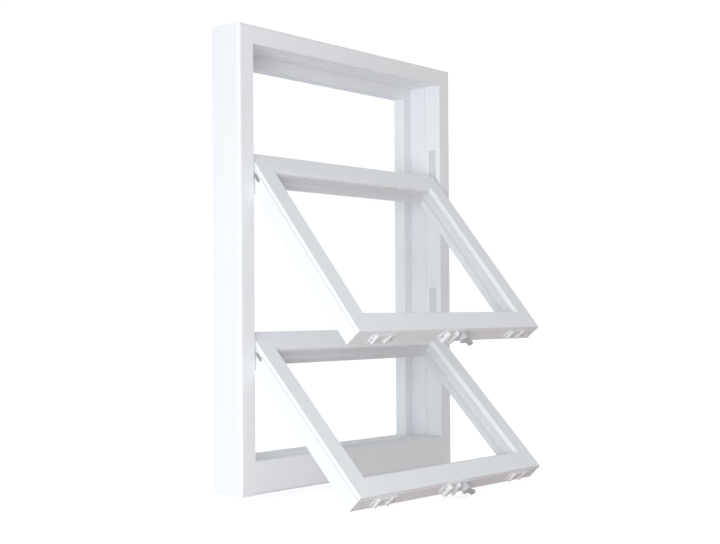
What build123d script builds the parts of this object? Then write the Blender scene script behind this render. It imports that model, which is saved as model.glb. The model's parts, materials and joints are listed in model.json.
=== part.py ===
"""Tilt-in double hung window: a welded frame with two sashes, each tipped into the room on its pivots."""
import math
import os

from build123d import *

# Frame, in millimetres: X across, Y from the room outwards, Z up from the underside of the sill
frame_width = 711.0
frame_height = 985.0
box_depth = 84.0
nose_depth = 42.0
nose_inset = 36.0
jamb_face = 40.0
sill_face = 71.0
outer_edge_radius = 7.0
inner_edge_radius = 2.0

# Tracks for the two sashes, side by side between the room-side lip and the weather stop
front_lip = 4.0
track_width = 45.0
track_drop = 2.0
ridge_height = 2.5
ridge_width = 3.0
stop_height = 28.0

# Sashes, with their pivots as heights above the underside of the sill and tilts from upright
sash_gap = 1.0
sash_side_gap = 3.0
rail_width = 50.0
rail_edge_radius = 3.0
lower_sash_height = 448.0
meeting_overlap = 60.0
groove_width = 3.0
groove_depth = 1.5
groove_inset = 7.0
pivot_inset = 16.0
lower_pivot_rise = 245.3
upper_pivot_drop = 291.8
lower_tilt = 135.5
upper_tilt = 140.3

# Glazing, measured from the weather face of a sash
glazing_leg = 11.0
leg_bevel = 6.0
rebate_width = 14.0
pane_thickness = 4.0
spacer_thickness = 12.0
spacer_width = 13.0
glass_edge_gap = 2.0
bead_reach = 10.0
bead_bevel = 3.0
bead_gap = 0.3

# Pivot bars and the shoes that carry them in the jambs
shoe_width = 22.0
shoe_depth = 14.0
shoe_recess = 2.0
shoe_below = 22.0
lower_shoe_above = 125.0
upper_shoe_above = 92.0
cam_radius = 8.0
cam_length = 8.0
bar_height = 14.0
bar_thickness = 7.0
bar_length = 38.0
pivot_gap = 0.05
access_length = 24.0
access_width = 9.0
access_depth = 12.0
access_inset = 59.0
access_offset = -6.0

# Tilt latches and sash lock, on the free edge of the lock rail
latch_length = 72.0
latch_width = 30.0
latch_rise = 2.0
latch_margin = 44.0
latch_shift = 8.0
latch_corner = 6.0
latch_edge = 0.8
slide_length = 64.0
slide_width = 6.0
slide_rise = 4.0
slide_offset = 9.0
leg_length = 26.0
leg_width = 8.0
leg_rise = 6.0
leg_edge = 1.5
leg_places = (-26.0, 12.0)
lock_length = 96.0
lock_width = 38.0
lock_rise = 3.0
lock_edge = 1.5
lock_offset = 5.0
housing_length = 15.0
housing_width = 32.0
housing_corner = 7.0
housing_rise = 9.0
housing_edge = 4.0
housing_offset = -24.0
keeper_length = 8.0
keeper_width = 34.0
keeper_rise = 8.0
keeper_offset = 4.0
hub_radius = 11.0
hub_rise = 16.0
hub_place = (28.0, 5.0)
lever_length = 37.0
lever_width = 10.0
lever_rise = 6.0
lever_tip_radius = 6.5
lever_swing = -22.0

room_face = -box_depth / 2
box_back = room_face + box_depth
weather_face = box_back + nose_depth
frame_depth = weather_face - room_face
track_front = room_face + front_lip
inner_track = track_front + track_width / 2
ridge_place = track_front + track_width
stop_face = track_front + 2 * track_width
half_width = frame_width / 2
clear_half = half_width - jamb_face
floor_half = clear_half + track_drop
mitre_reach = jamb_face + stop_height
sash_width = 2 * (clear_half - sash_side_gap)
upper_sash_height = frame_height - jamb_face - sill_face + meeting_overlap - lower_sash_height
sash_thickness = track_width - sash_gap
lower_pivot_height = sill_face + lower_pivot_rise
upper_pivot_height = frame_height - upper_pivot_drop
shoe_ends = (
    (lower_pivot_height - shoe_below, lower_pivot_height + lower_shoe_above),
    (upper_pivot_height - shoe_below, upper_pivot_height + upper_shoe_above),
)

os.makedirs("parts", exist_ok=True)


def finish(piece, name):
    """Name a finished piece and write it."""
    piece.label = name
    export_step(piece, f"parts/{name}.step")


def frame_section(face, side, stop):
    """Closed outline of a frame member: X from its outer side towards the opening, Y as in the frame."""
    floor = face - track_drop
    ridge_start = ridge_place - ridge_width / 2
    ridge_end = ridge_place + ridge_width / 2
    corners = [
        (0, room_face),
        (face, room_face),
        (face, track_front),
        (floor, track_front),
        (floor, ridge_start),
        (floor + ridge_height, ridge_start),
        (floor + ridge_height, ridge_end),
        (floor, ridge_end),
    ]
    if stop:
        corners += [(floor, stop_face), (floor + stop_height, stop_face), (floor + stop_height, weather_face)]
    else:
        corners += [(floor, weather_face)]
    corners += [(nose_inset, weather_face), (nose_inset, box_back), (0, box_back)]
    with BuildSketch(mode=Mode.PRIVATE) as section:
        with BuildLine():
            Polyline([(side * across, along) for across, along in corners], close=True)
        make_face()
        room_corners = section.vertices().group_by(Axis.Y)[0].sort_by(Axis.X)
        outer, inner = room_corners if side > 0 else reversed(room_corners)
        fillet(outer, radius=outer_edge_radius)
        fillet(inner, radius=inner_edge_radius)
    return section.sketch


# Sill between the jambs, its floor a little below its room-side lip
sill_plane = Plane(origin=(-clear_half, 0, 0), x_dir=(0, 0, -1), z_dir=(1, 0, 0))
with BuildPart() as sill:
    with BuildSketch(sill_plane):
        add(frame_section(sill_face, -1, stop=False))
    extrude(amount=2 * clear_half)
finish(sill.part, "sill")

# Head, mitred to the jambs
head_plane = Plane(origin=(-half_width, 0, frame_height), x_dir=(0, 0, -1), z_dir=(1, 0, 0))
front_plane = Plane(origin=(0, weather_face, 0), x_dir=(1, 0, 0), z_dir=(0, -1, 0))
with BuildPart() as head:
    with BuildSketch(head_plane):
        add(frame_section(jamb_face, 1, stop=True))
    extrude(amount=frame_width)
    with BuildSketch(front_plane):
        with BuildLine():
            Polyline(
                (-half_width, frame_height),
                (half_width, frame_height),
                (half_width - mitre_reach, frame_height - mitre_reach),
                (-half_width + mitre_reach, frame_height - mitre_reach),
                close=True,
            )
        make_face()
    extrude(amount=frame_depth, mode=Mode.INTERSECT)
finish(head.part, "head")

# Jambs: mitred at the head, coped over the sill, with pockets for the shoes
for side, name in ((-1, "left_jamb"), (1, "right_jamb")):
    outer = side * half_width
    mitre_x = side * (half_width - mitre_reach)
    with BuildPart() as jamb:
        with BuildSketch(Plane(origin=(outer, 0, 0), x_dir=(1, 0, 0), z_dir=(0, 0, 1))):
            add(frame_section(jamb_face, -side, stop=True))
        extrude(amount=frame_height)
        with BuildSketch(front_plane):
            with BuildLine():
                Polyline(
                    (outer, 0),
                    (outer, frame_height),
                    (mitre_x, frame_height - mitre_reach),
                    (mitre_x, 0),
                    close=True,
                )
            make_face()
        extrude(amount=frame_depth, mode=Mode.INTERSECT)
        add(sill.part, mode=Mode.SUBTRACT)
        with Locations((outer, (box_back + weather_face) / 2, nose_inset / 2)):
            Box(2 * mitre_reach, nose_depth, nose_inset, mode=Mode.SUBTRACT)
        for bottom, top in shoe_ends:
            with Locations((side * (floor_half + shoe_depth / 2), inner_track, (bottom + top) / 2)):
                Box(shoe_depth, shoe_width, top - bottom, mode=Mode.SUBTRACT)
    finish(jamb.part, name)


# Sash members in section: first from the outer edge towards the glass, then from the weather face
rebate_start = rail_width - rebate_width
inner_pane_start = glazing_leg + pane_thickness + spacer_thickness
bead_start = inner_pane_start + pane_thickness
groove_end = groove_inset + groove_width
rail_corners = [
    (0, 0),
    (rail_width - leg_bevel, 0),
    (rail_width, leg_bevel),
    (rail_width, glazing_leg),
    (rebate_start, glazing_leg),
    (rebate_start, sash_thickness),
    (0, sash_thickness),
    (0, groove_end),
    (groove_depth, groove_end),
    (groove_depth, groove_inset),
    (0, groove_inset),
]
bead_edge = rail_width + bead_reach
bead_corners = [
    (rebate_start, bead_start),
    (bead_edge, bead_start),
    (bead_edge, sash_thickness - bead_bevel),
    (bead_edge - bead_bevel, sash_thickness),
    (rebate_start, sash_thickness),
]
sash_half_width = sash_width / 2


def sash_plane(pivot_height, tilt):
    """Plane on the pivots: X across, Y up the sash, Z out of its room face."""
    lean = math.radians(tilt)
    return Plane(
        origin=(0, inner_track, pivot_height),
        x_dir=(1, 0, 0),
        z_dir=(0, -math.cos(lean), -math.sin(lean)),
    )


def edge_plane(middle, quarter):
    """Plane on the sash's middle, turned so that the chosen edge lies towards its -Y."""
    along = (middle.x_dir, middle.y_dir, -middle.x_dir, -middle.y_dir)[quarter]
    return Plane(origin=middle.origin, x_dir=along, z_dir=middle.z_dir)


def mitred_bar(middle, height, quarter, corners, inset, gap, rounding):
    """A bar of the given section along one edge of the sash, cut at 45 degrees at both ends."""
    if quarter % 2:
        half_length, reach = height / 2, sash_half_width
    else:
        half_length, reach = sash_half_width, height / 2
    widest = max(across for across, _ in corners)
    edge = edge_plane(middle, quarter)
    start = edge.from_local_coords((-half_length, -reach, -sash_thickness / 2))
    section_plane = Plane(origin=start, x_dir=edge.y_dir, z_dir=edge.x_dir)
    near = half_length - inset - gap
    far = half_length - widest - gap
    with BuildPart() as bar:
        with BuildSketch(section_plane) as section:
            with BuildLine():
                Polyline(corners, close=True)
            make_face()
            if rounding:
                faces_out = section.vertices().group_by(Axis.X)[0].sort_by(Axis.Y)
                fillet([faces_out[0], faces_out[-1]], radius=rounding)
        extrude(amount=2 * half_length)
        with BuildSketch(edge.offset(-sash_thickness / 2)):
            with BuildLine():
                Polyline(
                    (-near, inset - reach),
                    (near, inset - reach),
                    (far, widest - reach),
                    (-far, widest - reach),
                    close=True,
                )
            make_face()
        extrude(amount=sash_thickness, mode=Mode.INTERSECT)
    return bar.part


def sheet(middle, height, near_face, thickness, inset, hole_inset=None):
    """A flat pane inset from the sash's outer edges, with a hole where it is a spacer frame."""
    with BuildPart() as pane:
        with BuildSketch(middle.offset(near_face - sash_thickness / 2)):
            Rectangle(sash_width - 2 * inset, height - 2 * inset)
            if hole_inset is not None:
                Rectangle(
                    sash_width - 2 * hole_inset,
                    height - 2 * hole_inset,
                    mode=Mode.SUBTRACT,
                )
        extrude(amount=thickness)
    return pane.part


def pivot_bar(plane, side, gap):
    """A flat bar from inside the stile, ending in the round cam that turns in its shoe."""
    inner_end = sash_half_width - bar_length
    cam_start = floor_half + shoe_recess
    bar_end = cam_start + cam_length / 2
    bar_middle = side * (inner_end + bar_end) / 2
    cam_middle = side * (cam_start + cam_length / 2)
    with BuildPart(plane) as bar:
        with Locations((bar_middle, 0, 0)):
            Box(bar_end - inner_end, bar_height + 2 * gap, bar_thickness + 2 * gap)
        with Locations((cam_middle, 0, 0)):
            Cylinder(cam_radius + gap, cam_length, rotation=(0, 90, 0))
    return bar.part


def access_slots(plane):
    """The slots in the outer sides of both stiles, through which the pivot bars are fixed."""
    across = Plane(plane.origin, x_dir=plane.y_dir, z_dir=plane.x_dir)
    with BuildPart() as slots:
        for side in (-1, 1):
            with BuildSketch(across.offset(side * sash_half_width)):
                with Locations((access_inset - pivot_inset, access_offset)):
                    SlotOverall(access_length, access_width)
            extrude(amount=-side * access_depth)
    return slots.part


def shoe(bottom, top, side, bar):
    """A sliding block in its jamb pocket, with the socket in which the pivot bar's cam turns."""
    depth = shoe_depth - shoe_recess
    across = side * (floor_half + shoe_recess + depth / 2)
    with BuildPart() as block:
        with Locations((across, inner_track, (bottom + top) / 2)):
            Box(depth, shoe_width, top - bottom)
        add(bar, mode=Mode.SUBTRACT)
    return block.part


# The two sashes: mitred members, sealed glass, beads, pivots, latches and lock
for sash, pivot_height, tilt, height, shoe_span in (
    ("lower", lower_pivot_height, lower_tilt, lower_sash_height, shoe_ends[0]),
    ("upper", upper_pivot_height, upper_tilt, upper_sash_height, shoe_ends[1]),
):
    plane = sash_plane(pivot_height, tilt)
    middle = Plane(
        origin=plane.from_local_coords((0, height / 2 - pivot_inset, 0)),
        x_dir=plane.x_dir,
        z_dir=plane.z_dir,
    )

    for quarter, name in enumerate(("pivot_rail", "right_stile", "lock_rail", "left_stile")):
        with BuildPart() as member:
            add(mitred_bar(middle, height, quarter, rail_corners, 0, 0, rail_edge_radius))
            if name != "lock_rail":
                for side in (-1, 1):
                    add(pivot_bar(plane, side, pivot_gap), mode=Mode.SUBTRACT)
            if name.endswith("stile"):
                add(access_slots(plane), mode=Mode.SUBTRACT)
        finish(member.part, f"{sash}_{name}")

    glass_inset = rebate_start + glass_edge_gap
    finish(sheet(middle, height, glazing_leg, pane_thickness, glass_inset), f"{sash}_outer_pane")
    finish(sheet(middle, height, inner_pane_start, pane_thickness, glass_inset), f"{sash}_inner_pane")
    spacer_start = glazing_leg + pane_thickness
    spacer_hole = glass_inset + spacer_width
    finish(
        sheet(middle, height, spacer_start, spacer_thickness, glass_inset, spacer_hole),
        f"{sash}_glass_spacer",
    )

    with BuildPart() as beads:
        for quarter in range(4):
            add(mitred_bar(middle, height, quarter, bead_corners, rebate_start, bead_gap, 0))
    finish(beads.part, f"{sash}_glazing_beads")

    for side, hand in ((-1, "left"), (1, "right")):
        finish(pivot_bar(plane, side, 0), f"{sash}_{hand}_pivot_bar")
        socket = pivot_bar(plane, side, pivot_gap)
        finish(shoe(*shoe_span, side, socket), f"{sash}_{hand}_shoe")

    edge = Plane(
        origin=plane.from_local_coords((0, height - pivot_inset, 0)),
        x_dir=plane.x_dir,
        z_dir=plane.y_dir,
    )
    latch_place = sash_half_width - latch_margin - latch_length / 2
    latch_places = (latch_shift - latch_place, latch_shift + latch_place)
    outwards = Axis(edge.origin, edge.z_dir)

    with BuildPart() as latches:
        with BuildSketch(edge):
            with Locations(*[(place, 0) for place in latch_places]):
                RectangleRounded(latch_length, latch_width, latch_corner)
        extrude(amount=latch_rise)
        chamfer(latches.faces().group_by(outwards)[-1].edges(), latch_edge)
    finish(latches.part, f"{sash}_tilt_latches")

    latch_top = edge.offset(latch_rise)
    legs = [(place + leg, 0) for place in latch_places for leg in leg_places]
    with BuildPart() as slides:
        with BuildSketch(latch_top):
            with Locations(*legs):
                SlotOverall(leg_length, leg_width, rotation=90)
        extrude(amount=leg_rise)
        fillet(slides.faces().group_by(outwards)[-1].edges(), leg_edge)
        with BuildSketch(latch_top):
            with Locations(*[(place, slide_offset) for place in latch_places]):
                SlotOverall(slide_length, slide_width)
        extrude(amount=slide_rise)
    finish(slides.part, f"{sash}_latch_slides")

    lock_top = edge.offset(lock_rise)
    with BuildPart() as lock_base:
        with BuildSketch(edge):
            with Locations((lock_offset, 0)):
                SlotOverall(lock_length, lock_width)
        extrude(amount=lock_rise)
        chamfer(lock_base.faces().group_by(outwards)[-1].edges(), lock_edge)
        with BuildSketch(lock_top):
            with Locations((housing_offset, 0)):
                RectangleRounded(housing_length, housing_width, housing_corner)
        extrude(amount=housing_rise)
        fillet(lock_base.faces().group_by(outwards)[-1].edges(), housing_edge)
        with BuildSketch(lock_top):
            with Locations((keeper_offset, 0)):
                SlotOverall(keeper_width, keeper_length, rotation=90)
        extrude(amount=keeper_rise)
    finish(lock_base.part, f"{sash}_lock_base")

    swing = math.radians(lever_swing)
    hub_across, hub_out = hub_place
    tip = (hub_across + lever_length * math.cos(swing), hub_out + lever_length * math.sin(swing))
    with BuildPart() as lever:
        with BuildSketch(lock_top):
            with Locations(hub_place):
                Circle(hub_radius)
        extrude(amount=hub_rise)
        with BuildSketch(lock_top.offset(hub_rise - lever_rise)):
            with BuildLine():
                Line(hub_place, tip)
            trace(line_width=lever_width)
            with Locations(tip):
                Circle(lever_tip_radius)
        extrude(amount=lever_rise)
    finish(lever.part, f"{sash}_lock_lever")
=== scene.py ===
"""Dressing for a tilt-in double hung window: seals, pile, weld seams, screws, dark slot blocks that paint
shade, track ribs, finishes, light and camera."""

import json
import math
from typing import NamedTuple

import bmesh
import bpy
import numpy as np
from mathutils import Matrix, Vector


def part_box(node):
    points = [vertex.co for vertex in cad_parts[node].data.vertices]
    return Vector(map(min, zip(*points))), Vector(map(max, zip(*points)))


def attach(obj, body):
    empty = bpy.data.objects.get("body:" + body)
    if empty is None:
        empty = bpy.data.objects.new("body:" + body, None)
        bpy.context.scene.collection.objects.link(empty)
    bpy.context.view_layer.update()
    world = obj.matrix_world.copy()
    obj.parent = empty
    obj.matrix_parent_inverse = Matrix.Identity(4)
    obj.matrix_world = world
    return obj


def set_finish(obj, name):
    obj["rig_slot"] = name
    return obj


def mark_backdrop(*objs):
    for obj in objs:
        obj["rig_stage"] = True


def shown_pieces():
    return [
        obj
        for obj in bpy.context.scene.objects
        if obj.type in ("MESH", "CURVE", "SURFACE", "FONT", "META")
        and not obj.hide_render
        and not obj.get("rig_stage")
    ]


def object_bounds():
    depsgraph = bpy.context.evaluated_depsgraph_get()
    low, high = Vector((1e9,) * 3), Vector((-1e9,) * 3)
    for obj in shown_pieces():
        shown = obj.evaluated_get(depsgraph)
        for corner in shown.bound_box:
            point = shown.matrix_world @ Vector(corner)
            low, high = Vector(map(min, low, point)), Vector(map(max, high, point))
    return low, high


bl_info = {
    "name": "Tilt-in double hung window",
    "version": (1, 0, 0),
    "blender": (4, 5, 0),
    "location": "View3D > Sidebar > Window",
    "description": "Adds seals, pile, seams, screws and ribs to a window and gives every piece its finish",
    "category": "Object",
}

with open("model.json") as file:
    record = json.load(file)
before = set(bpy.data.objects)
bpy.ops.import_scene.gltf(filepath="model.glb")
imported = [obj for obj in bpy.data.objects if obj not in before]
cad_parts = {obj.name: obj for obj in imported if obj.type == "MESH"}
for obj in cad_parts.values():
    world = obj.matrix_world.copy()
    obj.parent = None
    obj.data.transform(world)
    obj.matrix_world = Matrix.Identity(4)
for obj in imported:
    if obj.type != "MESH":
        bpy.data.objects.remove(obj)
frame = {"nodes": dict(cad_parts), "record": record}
CAD_BOX = [list(corner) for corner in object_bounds()]
SASHES = ("lower", "upper")
MEMBERS = ("pivot_rail", "right_stile", "lock_rail", "left_stile")
CORNER_SIGNS = np.array([(-1, -1), (1, -1), (1, 1), (-1, 1)], dtype=float)
MILLIMETRE = 0.001

# Points nearer than this, in metres, are one point
WELD_DISTANCE = 1e-7

# Cross in a screw's head: depth as a share of the head's rise, the rest as shares of its radius
CROSS_DEPTH = 0.6
CROSS_HALF_WIDTH = 0.16
CROSS_SLOPE = 0.05
CROSS_REACH = 0.62
CROSS_FADE = 0.1
HEAD_SINK = 0.2

# Waves in the tips of the pile: how many on each side of a sash, their share of the ruffle and their start
PILE_WAVES = ((61, 1.0, 0.0), (97, 0.7, 1.3), (113, 0.5, 2.1))
PILE_WAIST = 0.9
PILE_FADE = 0.25

# Patterns of the finishes
RAMP_ENDS = (0.3, 0.7)
CLOUD_DETAIL = 3.0
GRAIN_DETAIL = 2.0
GRAIN_HEIGHT = 0.0002
SPACER_METALLIC = 0.3
DRAWN_STRETCH = (20.0, 900.0, 900.0)
DRAWN_SCALE = 1.0
DRAWN_DETAIL = 4.0
DRAWN_SPREAD = 0.12
DRAWN_ROUGHNESS = (0.28, 0.5)
WIPE_SCALE = 6.0
WIPE_DETAIL = 4.0
WIPE_SPREAD = 0.02
WIPE_ROUGHNESS = (0.01, 0.05)
GLASS_ALPHA = 0.025
GLASS_BENDING = 1.5

# Camera: width of the sensor in millimetres and the farthest point it sees in metres
SENSOR_WIDTH = 36.0
FARTHEST = 200.0


class Surface(NamedTuple):
    """How a moulded surface varies: its tint, its gloss in soft clouds, and a fine grain."""

    spread: float
    roughness: tuple
    clouds: float
    grain: float
    relief: float


SATIN = Surface(spread=0.012, roughness=(0.46, 0.56), clouds=7.0, grain=900.0, relief=0.05)
GLOSSY = Surface(spread=0.01, roughness=(0.2, 0.3), clouds=30.0, grain=1200.0, relief=0.03)
NYLON = Surface(spread=0.03, roughness=(0.45, 0.6), clouds=60.0, grain=1500.0, relief=0.1)
MILLED = Surface(spread=0.03, roughness=(0.3, 0.45), clouds=90.0, grain=1500.0, relief=0.05)
HANDLED = Surface(spread=0.02, roughness=(0.3, 0.4), clouds=30.0, grain=1200.0, relief=0.03)
RUBBERY = Surface(spread=0.05, roughness=(0.5, 0.65), clouds=60.0, grain=1500.0, relief=0.1)
FURRY = Surface(spread=0.1, roughness=(0.8, 0.95), clouds=900.0, grain=2500.0, relief=0.5)
PAINTED = Surface(spread=0.005, roughness=(0.9, 0.95), clouds=2.0, grain=60.0, relief=0.02)


def length(label, text, value):
    """A length property, given in millimetres and kept in metres."""
    return bpy.props.FloatProperty(
        name=label, description=text, default=value * MILLIMETRE, unit="LENGTH", precision=5
    )


def colour(label, text, value):
    """A colour property in linear red, green and blue."""
    return bpy.props.FloatVectorProperty(
        name=label, description=text, default=value, subtype="COLOR", size=3, min=0.0, max=1.0
    )


def number(label, text, value):
    """A plain number property."""
    return bpy.props.FloatProperty(name=label, description=text, default=value, precision=4)


class SealSizes(bpy.types.PropertyGroup):
    """Sizes of the glazing gaskets, the edge seals and the pile that seals a sash in its track."""

    gasket_reach: length("Gasket reach", "How far a gasket covers the glass from the sight line", 3.2)
    gasket_rise: length("Gasket rise", "How high a gasket stands against the sight line", 2.6)
    gasket_bite: length("Gasket bite", "How far a gasket is pressed into the vinyl and the glass", 0.3)
    seal_reach: length("Seal reach", "How far the edge seal of the panes stands inside the sight line", 1.0)
    seal_thickness: length("Seal thickness", "Thickness of the edge seal of the panes", 0.3)
    seal_cover: length("Seal cover", "Distance of the edge seal from the faces of the panes", 0.1)
    pile_width: length("Pile width", "Width of the pile at its foot", 2.4)
    pile_tip: length("Pile tip", "Width of the pile at its tip", 1.2)
    pile_rise: length("Pile rise", "How far the pile stands out of the sash edge", 1.6)
    pile_ruffle: length("Pile ruffle", "How far the tips of the pile wander", 0.45)
    pile_depth: length("Pile depth", "How deep the foot of the pile sits in its groove", 1.4)
    pile_inset: length("Pile inset", "Middle of the pile groove behind the weather face", 8.5)


class DetailSizes(bpy.types.PropertyGroup):
    """Sizes of the weld seams, the ribs in the tracks, the screws and the dark blocks that paint the shade in
    the access slots.
    """

    seam_width: length("Seam width", "Width of the weld seam on a mitre", 1.4)
    seam_rise: length("Seam rise", "Height of the weld seam over the vinyl", 0.22)
    seam_start: length("Seam start", "Distance of a sash seam from the outer corner", 3.0)
    seam_end: length("Seam end", "Distance of a sash seam from the sight line", 6.0)
    frame_seam_start: length("Frame seam start", "Distance of a frame seam from the outer corner", 8.0)
    frame_seam_end: length("Frame seam end", "Distance of a frame seam from the inner corner", 2.0)
    track_pitch: length("Track pitch", "Distance between the middles of the two tracks", 45.0)
    rib_width: length("Rib width", "Width of a rib in a track", 1.6)
    rib_rise: length("Rib rise", "Height of a rib over the floor of the track", 0.9)
    rib_offset: length("Rib offset", "Distance of a rib from the middle of its track", 15.5)
    rib_bite: length("Rib bite", "How far a rib runs into the sill", 0.5)
    shoe_recess: length("Shoe recess", "Depth of a shoe's face behind the floor of its track", 2.0)
    head_face: length("Head face", "Height of the head's room face", 40.0)
    screw_radius: length("Screw radius", "Radius of a lock screw's head", 3.0)
    screw_rise: length("Screw rise", "Height of a lock screw's head", 1.5)
    small_screw_radius: length("Small screw radius", "Radius of a latch screw's head", 2.3)
    small_screw_rise: length("Small screw rise", "Height of a latch screw's head", 1.1)
    screw_inset: length("Screw inset", "Distance of a lock screw from the end of the lock", 9.0)
    small_screw_inset: length("Small screw inset", "Distance of a latch screw from the end of its latch", 5.0)
    small_screw_shift: length("Small screw shift", "Distance of a latch screw from the edge's middle", 5.0)
    screw_turn: number("Screw turn", "Turn of the cross in a screw's head, in radians", 0.4)
    lock_rise: length("Lock rise", "Height of the lock's foot over the edge", 3.0)
    latch_length: length("Latch length", "Length of a tilt latch", 72.0)
    # The dark block in each access slot is painted shade for the slot's depth, not a fixing part
    block_length: length("Block length", "Length of the dark block in a stile's access slot", 23.4)
    block_width: length("Block width", "Width of the dark block in a stile's access slot", 8.4)
    block_place: length("Block place", "Distance of the slot's middle from the pivot end of the sash", 59.0)
    block_shift: length("Block shift", "Distance of the slot from the sash's middle towards the weather", 6.0)
    block_top: length("Block top", "Depth of the block's face under the side of the stile", 3.0)
    block_foot: length("Block foot", "Depth of the slot's floor under the side of the stile", 12.0)


class FinishColours(bpy.types.PropertyGroup):
    """Colours of the finishes."""

    vinyl: colour("Vinyl", "White vinyl of the frame and the sashes", (0.845, 0.86, 0.88))
    bead: colour("Bead", "White vinyl of the glazing beads", (0.835, 0.85, 0.87))
    hardware: colour("Hardware", "Glossy white of the locks and latches", (0.80, 0.80, 0.815))
    shoe: colour("Shoe", "Pale grey nylon of the shoes", (0.68, 0.69, 0.71))
    lever: colour("Lever", "Darker grey of the lock levers", (0.56, 0.57, 0.60))
    zinc: colour("Zinc", "Zinc plate of the pivot bars and the screws", (0.55, 0.56, 0.58))
    spacer: colour("Spacer", "Metal frame between the panes", (0.82, 0.83, 0.85))
    glass: colour("Glass", "Clear glass", (0.86, 0.90, 0.91))
    gasket: colour("Gasket", "Grey glazing gasket", (0.70, 0.705, 0.72))
    # Painted shade: this dark grey stands for the shade deep in the access slots
    block: colour("Block", "Dark grey of the blocks in the access slots", (0.34, 0.35, 0.37))
    pile: colour("Pile", "Pale pile", (0.80, 0.805, 0.82))
    floor: colour("Floor", "Pale floor", (0.99, 0.99, 0.99))
    bounce: colour("Bounce", "Colour of the light from below in the room", (0.58, 0.49, 0.47))
    back_bounce: colour("Back bounce", "Colour of the light from below behind the window", (0.88, 0.91, 0.96))


class StageSettings(bpy.types.PropertyGroup):
    """Camera and light."""

    eye: bpy.props.FloatVectorProperty(
        name="Eye",
        description="Place of the camera",
        default=(-1.9886, -1.8401, 0.3862),
        subtype="TRANSLATION",
    )
    yaw: bpy.props.FloatProperty(
        name="Yaw",
        description="Turn of the view from straight on",
        default=math.radians(48.08),
        subtype="ANGLE",
    )
    roll: bpy.props.FloatProperty(
        name="Roll", description="Roll of the camera", default=-0.0062, subtype="ANGLE"
    )
    lens: number("Lens", "Focal length in millimetres on a sensor 36 mm wide", 58.52)
    rise: number("Rise", "Upward shift of the lens, as a share of the picture's width", 0.053)
    sky_seen: number("Sky seen", "Strength of the white that the camera sees", 1.06)
    sky_light: number("Sky light", "Strength of the even light from all round", 0.69)
    sky_tint: colour("Sky tint", "Colour of the even light", (0.975, 0.99, 1.0))
    key: number("Key", "Power of the soft light from the left, in watts", 39.5)
    key_size: length("Key size", "Side of the soft light", 1500.0)
    key_tint: colour("Key tint", "Colour of the soft light", (0.92, 0.975, 1.0))
    key_place: bpy.props.FloatVectorProperty(
        name="Key place",
        description="Place of the soft light",
        default=(-2.3, -1.3, 0.3),
        subtype="TRANSLATION",
    )
    floor_glow: number("Floor glow", "Strength of the floor's own light, which keeps its shadow faint", 0.45)
    floor_drop: length("Floor drop", "Gap between the lowest point and the floor", 2.0)
    bounce_drop: length("Bounce drop", "Depth under the floor from which its light is lent", 350.0)
    floor_reach: length("Floor reach", "Half width of the floor", 30000.0)


SETTINGS = {
    "window_seals": SealSizes,
    "window_details": DetailSizes,
    "window_finishes": FinishColours,
    "window_stage": StageSettings,
}


def node_points(node):
    """All points of a solid as an array, one row a point."""
    mesh = frame["nodes"][node].data
    points = np.empty(3 * len(mesh.vertices))
    mesh.vertices.foreach_get("co", points)
    return points.reshape(-1, 3)


class Sash:
    """A sash's own axes: across, along it from pivots to lock, and out of its room face."""

    def __init__(self, name):
        """The room direction runs from the middle of the weather pane to that of the room pane."""
        self.name = name
        weather_middle = node_points(f"{name}_outer_pane").mean(axis=0)
        room_middle = node_points(f"{name}_inner_pane").mean(axis=0)
        out = room_middle - weather_middle
        out = out / np.linalg.norm(out)
        across = np.array((1.0, 0.0, 0.0))
        self.axes = np.stack((across, np.cross(out, across), out))
        self.middle = weather_middle

    def world(self, points):
        """Points in the sash's axes carried into the window's frame."""
        return self.middle + points @ self.axes

    def span(self, piece):
        """Lowest and highest corner of one of the sash's pieces, in the sash's axes."""
        local = (node_points(f"{self.name}_{piece}") - self.middle) @ self.axes.T
        return local.min(axis=0), local.max(axis=0)

    def outline(self):
        """Half width and half height of the sash, and its middle."""
        low = np.min([self.span(member)[0] for member in MEMBERS], axis=0)
        high = np.max([self.span(member)[1] for member in MEMBERS], axis=0)
        return (high - low) / 2, (high + low) / 2

    def sight_line(self):
        """Half width and half height of the glass that shows, and its middle."""
        low = np.array((self.span("left_stile")[1][0], self.span("pivot_rail")[1][1]))
        high = np.array((self.span("right_stile")[0][0], self.span("lock_rail")[0][1]))
        return (high - low) / 2, (high + low) / 2

    def bead_reach(self):
        """How far the glazing beads stand inside the sight line."""
        half, middle = self.sight_line()
        local = (node_points(f"{self.name}_glazing_beads") - self.middle) @ self.axes.T
        return half[0] - np.abs(local[:, 0] - middle[0]).min()


def grid_faces(rows, columns, wrap_rows, wrap_columns):
    """Quads over a grid of points: each joins a point to the next in its row and in its column."""
    row = np.arange(rows if wrap_rows else rows - 1)
    column = np.arange(columns if wrap_columns else columns - 1)
    row, column = np.meshgrid(row, column, indexing="ij")
    next_row = (row + 1) % rows
    next_column = (column + 1) % columns
    quads = (
        row * columns + column,
        row * columns + next_column,
        next_row * columns + next_column,
        next_row * columns + column,
    )
    return np.stack(quads, axis=-1).reshape(-1, 4)


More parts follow.
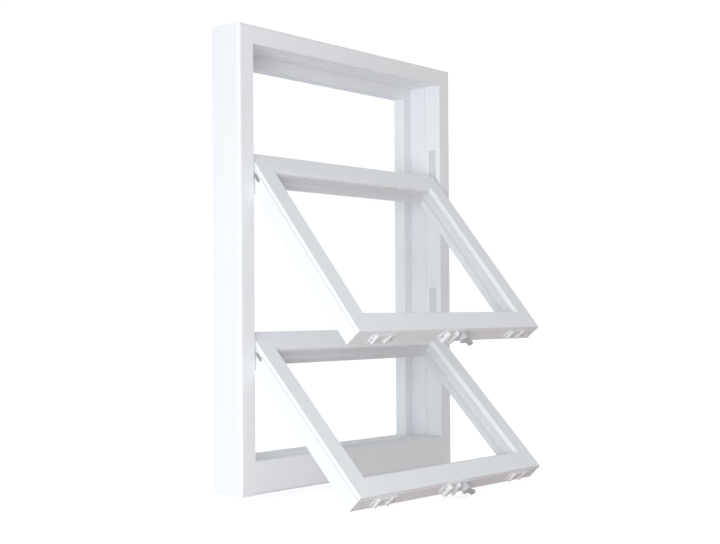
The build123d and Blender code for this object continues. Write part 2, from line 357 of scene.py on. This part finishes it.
def surface_piece(name, patches, slot, smooth_degrees=40.0):
    """One object from several grids of points; a grid that isn't wrapped along its rows gets flat ends."""
    points = []
    faces = []
    count = 0
    for grid, wrap_rows in patches:
        rows, columns = grid.shape[:2]
        points.append(grid.reshape(-1, 3))
        faces += (grid_faces(rows, columns, wrap_rows, True) + count).tolist()
        if not wrap_rows:
            first = np.arange(columns) + count
            faces += [first.tolist(), (first + (rows - 1) * columns).tolist()]
        count += rows * columns
    mesh = bpy.data.meshes.new(name)
    mesh.from_pydata(np.concatenate(points).tolist(), [], faces)
    shape = bmesh.new()
    shape.from_mesh(mesh)
    bmesh.ops.remove_doubles(shape, verts=shape.verts, dist=WELD_DISTANCE)
    bmesh.ops.recalc_face_normals(shape, faces=shape.faces)
    shape.to_mesh(mesh)
    shape.free()
    mesh.polygons.foreach_set("use_smooth", np.ones(len(mesh.polygons), dtype=bool))
    mesh.set_sharp_from_angle(angle=math.radians(smooth_degrees))
    piece = bpy.data.objects.new(name, mesh)
    bpy.context.scene.collection.objects.link(piece)
    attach(piece, "root")
    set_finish(piece, slot)
    return piece


def loop_sections(half, middle, profile):
    """A profile carried round a rectangle: at corner s of the rectangle, a point of the profile that lies
    inset from the sides goes to middle + s * (half - inset), at its own height."""
    inset = profile[:, 0]
    sides = half[None, None, :2] - inset[None, :, None]
    plan = middle[None, None, :2] + CORNER_SIGNS[:, None, :] * sides
    height = np.broadcast_to(profile[None, :, 1:2], plan.shape[:2] + (1,))
    return np.concatenate((plan, height), axis=2)


def along_line(start, end, profile, sideways, upwards):
    """A profile carried along a straight line: start + t * (end - start), plus the profile's two measures
    along the sideways and upwards directions."""
    ends = np.stack((start, end))
    offset = profile[:, :1] * sideways + profile[:, 1:] * upwards
    return ends[:, None, :] + offset[None, :, :]


def low_dome(width, rise, foot, steps=9):
    """Half an ellipse over a short foot: (width/2 cos a, rise sin a) for a from 0 to pi."""
    angle = np.linspace(0, math.pi, steps)
    dome = np.stack((width / 2 * np.cos(angle), rise * np.sin(angle)), axis=1)
    base = np.array(((-width / 2, -foot), (width / 2, -foot)))
    return np.concatenate((dome, base))


def quarter_round(reach, rise, bite, steps=7):
    """A hollow-cornered wedge between a wall and the glass: an ellipse's quarter from the top of the wall to
    the glass, closed by a corner pressed into both."""
    angle = np.linspace(0, math.pi / 2, steps)
    curve = np.stack((reach * np.sin(angle), rise * np.cos(angle)), axis=1)
    back = np.array(((reach, -bite), (-bite, -bite), (-bite, rise)))
    return np.concatenate((curve, back))


def stadium(length_along, width, steps=9):
    """Outline of a slot: two half circles of the given width, set so that the whole has the given length."""
    turn = np.linspace(-math.pi / 2, math.pi / 2, steps)
    radius = width / 2
    half_straight = length_along / 2 - radius
    right = np.stack((half_straight + radius * np.cos(turn), radius * np.sin(turn)), axis=1)
    return np.concatenate((right, -right))


def screw_grid(radius, rise, turn, rings=14, spokes=48):
    """A pan head over polar coordinates: rise * (1 - (r/R)^4)^0.5, less a cross whose arms fade out before
    the rim, then straight down its side and back to the middle underneath."""
    share = np.linspace(0, 1, rings)[:, None]
    angle = np.linspace(0, 2 * math.pi, spokes, endpoint=False)[None, :]
    crown = rise * np.sqrt(np.clip(1 - share**4, 0, 1)) * np.ones_like(angle)
    arm = np.minimum(np.abs(np.sin(angle + turn)), np.abs(np.cos(angle + turn))) * share
    beside = np.clip((CROSS_HALF_WIDTH - arm) / CROSS_SLOPE, 0, 1)
    inside = np.clip((CROSS_REACH - share) / CROSS_FADE, 0, 1)
    height = crown - CROSS_DEPTH * rise * beside * inside
    top = np.stack((radius * share * np.cos(angle), radius * share * np.sin(angle), height), axis=2)
    foot = top[-1:] * np.array((1, 1, 0)) - np.array((0, 0, HEAD_SINK * rise))
    under = foot * np.array((0, 0, 1))
    return np.concatenate((top, foot, under))


class WINDOW_OT_gaskets(bpy.types.Operator):
    """Seal the edges of the panes and press a grey gasket between the weather pane and the vinyl"""

    bl_idname = "window.gaskets"
    bl_label = "Glazing gaskets"

    def execute(self, context):
        sizes = context.scene.window_seals
        profile = quarter_round(sizes.gasket_reach, sizes.gasket_rise, sizes.gasket_bite)
        for name in SASHES:
            sash = Sash(name)
            half, middle = sash.sight_line()
            level = sash.span("outer_pane")[0][2]
            placed = profile * np.array((1, -1)) + np.array((0, level))
            sections = sash.world(loop_sections(half, middle, placed))
            surface_piece(f"{name}_gasket", [(sections, True)], "bead_vinyl")
            sections = sash.world(loop_sections(half, middle, self.edge_seal(sash, sizes)))
            surface_piece(f"{name}_edge_seal", [(sections, True)], "spacer_metal")
        return {"FINISHED"}

    def edge_seal(self, sash, sizes):
        """A stepped strip seen through the weather pane: it stands across the edges of the panes, lies on the
        room pane as far as the glazing beads reach, and turns down through that pane at their edge."""
        bottom = sash.span("outer_pane")[0][2] + sizes.seal_cover
        pane_low, pane_high = sash.span("inner_pane")
        step = pane_low[2] - sizes.seal_cover
        top = pane_high[2] - sizes.seal_cover
        near = sizes.seal_reach
        bead = sash.bead_reach()
        thickness = sizes.seal_thickness
        return np.array(
            (
                (near, bottom),
                (near + thickness, bottom),
                (near + thickness, step - thickness),
                (bead, step - thickness),
                (bead, top),
                (bead - thickness, top),
                (bead - thickness, step),
                (near, step),
            )
        )


class WINDOW_OT_pile(bpy.types.Operator):
    """Fill the groove round each sash with sealing pile"""

    bl_idname = "window.pile"
    bl_label = "Sealing pile"

    def execute(self, context):
        sizes = context.scene.window_seals
        for name in SASHES:
            sash = Sash(name)
            half, middle = sash.outline()
            level = middle[2] - half[2] + sizes.pile_inset
            strip = self.strip(sash, half, middle, level, sizes)
            surface_piece(f"{name}_pile", [(strip, True)], "grey_plastic")
        return {"FINISHED"}

    def strip(self, sash, half, middle, level, sizes, steps=240):
        """A tapering strip carried round the sash's outline; its tips wander as a sum of sines of the
        distance along each side."""
        foot = sizes.pile_width / 2
        tip = sizes.pile_tip / 2
        profile = np.array(
            (
                (sizes.pile_depth, level - foot),
                (0.0, level - foot * PILE_WAIST),
                (-sizes.pile_rise, level - tip),
                (-sizes.pile_rise, level + tip),
                (0.0, level + foot * PILE_WAIST),
                (sizes.pile_depth, level + foot),
            )
        )
        corners = loop_sections(half, middle, profile)
        following = np.roll(corners, -1, axis=0)
        share = np.linspace(0, 1, steps, endpoint=False)[None, :, None, None]
        strip = corners[:, None] + share * (following - corners)[:, None]
        travel = np.linspace(0, 1, steps, endpoint=False) * 2 * math.pi
        wander = sum(share * np.sin(count * travel + start) for count, share, start in PILE_WAVES)
        whole = sum(share for _, share, _ in PILE_WAVES)
        fade = np.sin(travel / 2) ** PILE_FADE
        tips = slice(2, 4)
        strip[:, :, tips, 2] += (sizes.pile_ruffle / whole * wander * fade)[None, :, None]
        return sash.world(strip.reshape(-1, len(profile), 3))


class WINDOW_OT_seams(bpy.types.Operator):
    """Lay a fine weld seam on every mitre of the sashes and the frame"""

    bl_idname = "window.seams"
    bl_label = "Weld seams"

    def execute(self, context):
        sizes = context.scene.window_details
        profile = low_dome(sizes.seam_width, sizes.seam_rise, sizes.seam_rise)
        for name in SASHES:
            sash = Sash(name)
            patches = [(sash.world(line), False) for line in self.sash_lines(sash, profile, sizes)]
            surface_piece(f"{name}_weld_seams", patches, "white_vinyl")
        surface_piece("frame_weld_seams", self.frame_lines(profile, sizes), "white_vinyl")
        return {"FINISHED"}

    def sash_lines(self, sash, profile, sizes):
        """Straight seams from each outer corner to the bevel at the glass, on both faces of the sash."""
        half, middle = sash.outline()
        inner_half, inner_middle = sash.sight_line()
        lines = []
        for level, towards in ((middle[2] - half[2], -1), (middle[2] + half[2], 1)):
            for sign in CORNER_SIGNS:
                outer = np.append(middle[:2] + sign * (half[:2] - sizes.seam_start), level)
                inner = np.append(inner_middle + sign * (inner_half + sizes.seam_end), level)
                sideways = np.array((-sign[1], sign[0], 0)) / math.sqrt(2)
                lines.append(along_line(outer, inner, profile, sideways, np.array((0, 0, towards))))
        return lines

    def frame_lines(self, profile, sizes):
        """Seams on the room face of the head's two mitres."""
        low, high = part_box("head")
        start = sizes.frame_seam_start
        end = high[0] - node_points("sill")[:, 0].max() - sizes.frame_seam_end
        patches = []
        for side in (-1, 1):
            outer = np.array((side * (high[0] - start), low[1], high[2] - start))
            inner = np.array((side * (high[0] - end), low[1], high[2] - end))
            sideways = np.array((side, 0, -1)) / math.sqrt(2)
            patches.append((along_line(outer, inner, profile, sideways, np.array((0, -1, 0))), False))
        return patches


class WINDOW_OT_screws(bpy.types.Operator):
    """Set cross-headed screws in the locks and the tilt latches"""

    bl_idname = "window.screws"
    bl_label = "Lock and latch screws"

    def execute(self, context):
        sizes = context.scene.window_details
        big = (sizes.screw_radius, sizes.screw_rise)
        small = (sizes.small_screw_radius, sizes.small_screw_rise)
        for name in SASHES:
            sash = Sash(name)
            half, middle = sash.outline()
            edge = middle[1] + half[1]
            low, high = sash.span("lock_base")
            lock_top = edge + sizes.lock_rise
            patches = []
            for end, inwards in ((low[0], 1), (high[0], -1)):
                place = (end + inwards * sizes.screw_inset, lock_top, middle[2])
                patches.append(self.placed(sash, big, sizes.screw_turn * inwards, place))
            low, high = sash.span("tilt_latches")
            level = middle[2] + sizes.small_screw_shift
            reach = sizes.latch_length
            for end, inwards in ((low[0], 1), (low[0] + reach, -1), (high[0] - reach, 1), (high[0], -1)):
                place = (end + inwards * sizes.small_screw_inset, high[1], level)
                patches.append(self.placed(sash, small, sizes.screw_turn, place))
            surface_piece(f"{name}_screws", patches, "zinc_metal")
        return {"FINISHED"}

    def placed(self, sash, size, turn, place):
        """A screw head standing on the sash's free edge."""
        grid = screw_grid(*size, turn)
        local = np.stack((grid[..., 0], grid[..., 2], grid[..., 1]), axis=-1)
        return sash.world(local + np.array(place)), False


class WINDOW_OT_shade_blocks(bpy.types.Operator):
    """Set dark blocks at the bottom of the access slots, as painted shade for the slots' dark depth"""

    bl_idname = "window.blocks"
    bl_label = "Access slot blocks"

    def execute(self, context):
        sizes = context.scene.window_details
        outline = stadium(sizes.block_length, sizes.block_width)
        for name in SASHES:
            sash = Sash(name)
            half, middle = sash.outline()
            along = middle[1] - half[1] + sizes.block_place
            level = middle[2] - sizes.block_shift
            patches = []
            for side in (-1, 1):
                foot = np.array((side * (half[0] - sizes.block_foot), along, level))
                face = np.array((side * (half[0] - sizes.block_top), along, level))
                # Painted shade: a dark block set where the slot is only shaded
                block = along_line(foot, face, outline, np.array((0, 1, 0)), np.array((0, 0, 1)))
                patches.append((sash.world(block), False))
            surface_piece(f"{name}_slot_blocks", patches, "grey_plastic")
        return {"FINISHED"}


class WINDOW_OT_ribs(bpy.types.Operator):
    """Run fine ribs up the tracks of both jambs"""

    bl_idname = "window.ribs"
    bl_label = "Track ribs"

    def execute(self, context):
        sizes = context.scene.window_details
        profile = low_dome(sizes.rib_width, sizes.rib_rise, sizes.rib_rise / 2)
        shoe_low, shoe_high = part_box("lower_right_shoe")
        track = (shoe_low[1] + shoe_high[1]) / 2
        floor = shoe_low[0] - sizes.shoe_recess
        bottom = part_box("sill")[1][2] - sizes.rib_bite
        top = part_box("head")[1][2] - sizes.head_face
        for side, hand in ((-1, "left"), (1, "right")):
            patches = []
            for middle in (track, track + sizes.track_pitch):
                for offset in (-sizes.rib_offset, sizes.rib_offset):
                    start = np.array((side * floor, middle + offset, bottom))
                    end = np.array((side * floor, middle + offset, top))
                    sideways = np.array((0, 1, 0))
                    inwards = np.array((-side, 0, 0))
                    patches.append((along_line(start, end, profile, sideways, inwards), False))
            surface_piece(f"{hand}_track_ribs", patches, "white_vinyl")
        return {"FINISHED"}


def new_material(name):
    """An empty node material with its shader, and object coordinates to drive patterns."""
    material = bpy.data.materials.new(name)
    material.use_nodes = True
    nodes = material.node_tree.nodes
    shader = nodes["Principled BSDF"]
    place = nodes.new("ShaderNodeTexCoord")
    return material, nodes, material.node_tree.links, shader, place.outputs["Object"]


def noise_node(nodes, links, place, scale, detail):
    """A soft noise on the piece's own coordinates."""
    noise = nodes.new("ShaderNodeTexNoise")
    noise.inputs["Scale"].default_value = scale
    noise.inputs["Detail"].default_value = detail
    links.new(place, noise.inputs["Vector"])
    return noise


def tint_ramp(nodes, links, source, base, spread):
    """A ramp from a little under the base colour to a little over it."""
    ramp = nodes.new("ShaderNodeValToRGB")
    under, over = ramp.color_ramp.elements
    under.position, over.position = RAMP_ENDS
    under.color = [channel * (1 - spread) for channel in base] + [1]
    over.color = [min(1, channel * (1 + spread)) for channel in base] + [1]
    links.new(source, ramp.inputs["Fac"])
    return ramp.outputs["Color"]


def span_node(nodes, links, source, ends):
    """A value spread between two ends."""
    low, high = ends
    spread = nodes.new("ShaderNodeMapRange")
    spread.inputs["To Min"].default_value = low
    spread.inputs["To Max"].default_value = high
    links.new(source, spread.inputs["Value"])
    return spread.outputs["Result"]


def bump_node(nodes, links, source, shader, strength, distance):
    """Fine relief on the shader's normal."""
    bump = nodes.new("ShaderNodeBump")
    bump.inputs["Strength"].default_value = strength
    bump.inputs["Distance"].default_value = distance
    links.new(source, bump.inputs["Height"])
    links.new(bump.outputs["Normal"], shader.inputs["Normal"])


def plain_finish(name, base, surface):
    """A moulded finish: faint cloudy tint, uneven gloss and a fine grain."""
    material, nodes, links, shader, place = new_material(name)
    clouds = noise_node(nodes, links, place, surface.clouds, CLOUD_DETAIL).outputs["Fac"]
    links.new(tint_ramp(nodes, links, clouds, base, surface.spread), shader.inputs["Base Color"])
    links.new(span_node(nodes, links, clouds, surface.roughness), shader.inputs["Roughness"])
    fine = noise_node(nodes, links, place, surface.grain, GRAIN_DETAIL).outputs["Fac"]
    bump_node(nodes, links, fine, shader, surface.relief, GRAIN_HEIGHT)
    return material, shader


def zinc_finish(name, base):
    """Plated metal with a drawn grain across the piece."""
    material, nodes, links, shader, place = new_material(name)
    shader.inputs["Metallic"].default_value = 1.0
    stretch = nodes.new("ShaderNodeMapping")
    stretch.inputs["Scale"].default_value = DRAWN_STRETCH
    links.new(place, stretch.inputs["Vector"])
    grain = noise_node(nodes, links, stretch.outputs["Vector"], DRAWN_SCALE, DRAWN_DETAIL).outputs["Fac"]
    links.new(tint_ramp(nodes, links, grain, base, DRAWN_SPREAD), shader.inputs["Base Color"])
    links.new(span_node(nodes, links, grain, DRAWN_ROUGHNESS), shader.inputs["Roughness"])
    return material


def glass_finish(name, base):
    """Clear glass with a faint uneven gloss, as after wiping."""
    material, nodes, links, shader, place = new_material(name)
    wipe = noise_node(nodes, links, place, WIPE_SCALE, WIPE_DETAIL).outputs["Fac"]
    links.new(tint_ramp(nodes, links, wipe, base, WIPE_SPREAD), shader.inputs["Base Color"])
    links.new(span_node(nodes, links, wipe, WIPE_ROUGHNESS), shader.inputs["Roughness"])
    shader.inputs["Alpha"].default_value = GLASS_ALPHA
    shader.inputs["IOR"].default_value = GLASS_BENDING
    return material


class WINDOW_OT_finishes(bpy.types.Operator):
    """Give every solid and every added piece its finish"""

    bl_idname = "window.finishes"
    bl_label = "Finishes"

    def execute(self, context):
        tints = context.scene.window_finishes
        spacer, spacer_shader = plain_finish("spacer metal", tints.spacer, MILLED)
        spacer_shader.inputs["Metallic"].default_value = SPACER_METALLIC
        by_slot = {
            "white_vinyl": plain_finish("white vinyl", tints.vinyl, SATIN)[0],
            "bead_vinyl": plain_finish("bead vinyl", tints.bead, SATIN)[0],
            "hardware_white": plain_finish("hardware white", tints.hardware, GLOSSY)[0],
            "grey_plastic": plain_finish("grey nylon", tints.shoe, NYLON)[0],
            "zinc_metal": zinc_finish("zinc plate", tints.zinc),
            "spacer_metal": spacer,
            "clear_glass": glass_finish("clear glass", tints.glass),
        }
        by_ending = {
            "lock_lever": plain_finish("lever grey", tints.lever, HANDLED)[0],
            "gasket": plain_finish("gasket rubber", tints.gasket, RUBBERY)[0],
            # Painted shade: the dark finish of the blocks in the access slots
            "slot_blocks": plain_finish("block grey", tints.block, RUBBERY)[0],
            "pile": plain_finish("pile", tints.pile, FURRY)[0],
        }
        slots = {part["node"]: part["material_slot"] for part in frame["record"]["subparts"]}
        for node, piece in frame["nodes"].items():
            self.dress(piece, self.finish_for(node, by_ending, by_slot[slots[node]]))
        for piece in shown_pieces():
            if piece.name not in frame["nodes"]:
                self.dress(piece, self.finish_for(piece.name, by_ending, by_slot[piece["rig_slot"]]))
        return {"FINISHED"}

    def finish_for(self, name, by_ending, usual):
        """The finish that belongs to the end of a piece's name, or else the usual one of its slot."""
        for ending, finish in by_ending.items():
            if name.endswith(ending):
                return finish
        return usual

    def dress(self, piece, material):
        """Put one finish on a whole piece."""
        piece.data.materials.clear()
        piece.data.materials.append(material)


class WINDOW_OT_stage(bpy.types.Operator):
    """Set the pale floor, the soft light and the camera"""

    bl_idname = "window.stage"
    bl_label = "Stage"

    def execute(self, context):
        scene = context.scene
        settings = scene.window_stage
        self.floor(scene, settings)
        self.sky(scene, settings)
        self.key_light(scene, settings)
        self.camera(scene, settings)
        scene.view_settings.view_transform = "Standard"
        return {"FINISHED"}

    def floor(self, scene, settings):
        """A wide pale floor under the lowest point, and two halves below it that only lend their light."""
        level = CAD_BOX[0][2] - settings.floor_drop
        reach = settings.floor_reach
        tints = scene.window_finishes
        shown = self.flat_sheet(scene, "floor", (-reach, reach), level, tints.floor, settings.floor_glow)
        shown.visible_diffuse = False
        shown.visible_glossy = False
        shown.visible_shadow = False
        below = level - settings.bounce_drop
        front = self.flat_sheet(scene, "bounce", (-reach, 0.0), below, tints.bounce, 0.0)
        back = self.flat_sheet(scene, "back bounce", (0.0, reach), below, tints.back_bounce, 0.0)
        for lending in (front, back):
            lending.visible_camera = False
        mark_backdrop(shown, front, back)

    def flat_sheet(self, scene, name, depth, level, tint, glow):
        """One wide flat sheet between two depths, with a little light of its own."""
        near, far = depth
        reach = scene.window_stage.floor_reach
        corners = [(-reach, near, level), (reach, near, level), (reach, far, level), (-reach, far, level)]
        mesh = bpy.data.meshes.new(name)
        mesh.from_pydata(corners, [], [(0, 1, 2, 3)])
        sheet = bpy.data.objects.new(name, mesh)
        scene.collection.objects.link(sheet)
        material, shader = plain_finish(f"{name} paint", tint, PAINTED)
        shader.inputs["Emission Color"].default_value = (*tint, 1)
        shader.inputs["Emission Strength"].default_value = glow
        mesh.materials.append(material)
        return sheet

    def sky(self, scene, settings):
        """White all round for the camera, and a weaker even light on the window."""
        world = bpy.data.worlds.new("studio")
        world.use_nodes = True
        nodes = world.node_tree.nodes
        links = world.node_tree.links
        background = nodes["Background"]
        background.inputs["Color"].default_value = (*settings.sky_tint, 1)
        path = nodes.new("ShaderNodeLightPath")
        ends = (settings.sky_light, settings.sky_seen)
        strength = span_node(nodes, links, path.outputs["Is Camera Ray"], ends)
        links.new(strength, background.inputs["Strength"])
        scene.world = world

    def key_light(self, scene, settings):
        """A large soft light in front on the left, aimed at the middle of the window."""
        lamp = bpy.data.lights.new("key", "AREA")
        lamp.size = settings.key_size
        lamp.energy = settings.key
        lamp.color = settings.key_tint
        light = bpy.data.objects.new("key", lamp)
        light.location = settings.key_place
        middle = (Vector(CAD_BOX[0]) + Vector(CAD_BOX[1])) / 2
        light.rotation_euler = (middle - light.location).to_track_quat("-Z", "Y").to_euler()
        scene.collection.objects.link(light)

    def camera(self, scene, settings):
        """The view of the photograph: level, turned by the yaw, with a slight roll and a raised lens."""
        forward = Vector((math.sin(settings.yaw), math.cos(settings.yaw), 0))
        right = Vector((math.cos(settings.yaw), -math.sin(settings.yaw), 0))
        up = Vector((0, 0, 1))
        rolled_right = right * math.cos(settings.roll) + up * math.sin(settings.roll)
        rolled_up = up * math.cos(settings.roll) - right * math.sin(settings.roll)
        turn = Matrix((rolled_right, rolled_up, -forward)).transposed()
        data = bpy.data.cameras.new("camera")
        data.sensor_fit = "HORIZONTAL"
        data.sensor_width = SENSOR_WIDTH
        data.lens = settings.lens
        data.shift_y = settings.rise
        data.clip_end = FARTHEST
        camera = bpy.data.objects.new("camera", data)
        camera.matrix_world = Matrix.Translation(settings.eye) @ turn.to_4x4()
        scene.collection.objects.link(camera)
        scene.camera = camera


OPERATORS = (
    WINDOW_OT_gaskets,
    WINDOW_OT_pile,
    WINDOW_OT_seams,
    WINDOW_OT_screws,
    WINDOW_OT_shade_blocks,
    WINDOW_OT_ribs,
    WINDOW_OT_finishes,
    WINDOW_OT_stage,
)


class WINDOW_PT_dressing(bpy.types.Panel):
    """Sidebar panel that lists the window's sizes, colours and steps"""

    bl_idname = "WINDOW_PT_dressing"
    bl_label = "Double hung window"
    bl_space_type = "VIEW_3D"
    bl_region_type = "UI"
    bl_category = "Window"

    def draw(self, context):
        for group, settings in SETTINGS.items():
            box = self.layout.box()
            for name in settings.__annotations__:
                box.prop(getattr(context.scene, group), name)
        for operator in OPERATORS:
            self.layout.operator(operator.bl_idname)


CLASSES = (*SETTINGS.values(), *OPERATORS, WINDOW_PT_dressing)


def register():
    """Register the classes and hang the settings on the scene."""
    for item in CLASSES:
        bpy.utils.register_class(item)
    for group, settings in SETTINGS.items():
        setattr(bpy.types.Scene, group, bpy.props.PointerProperty(type=settings))


def unregister():
    """Take the settings off the scene and drop the classes."""
    for group in SETTINGS:
        delattr(bpy.types.Scene, group)
    for item in reversed(CLASSES):
        bpy.utils.unregister_class(item)


def main():
    """Dress the window step by step."""
    register()
    bpy.ops.window.gaskets()
    bpy.ops.window.pile()
    bpy.ops.window.seams()
    bpy.ops.window.screws()
    bpy.ops.window.blocks()
    bpy.ops.window.ribs()
    bpy.ops.window.finishes()
    bpy.ops.window.stage()


if __name__ == "__main__":
    main()
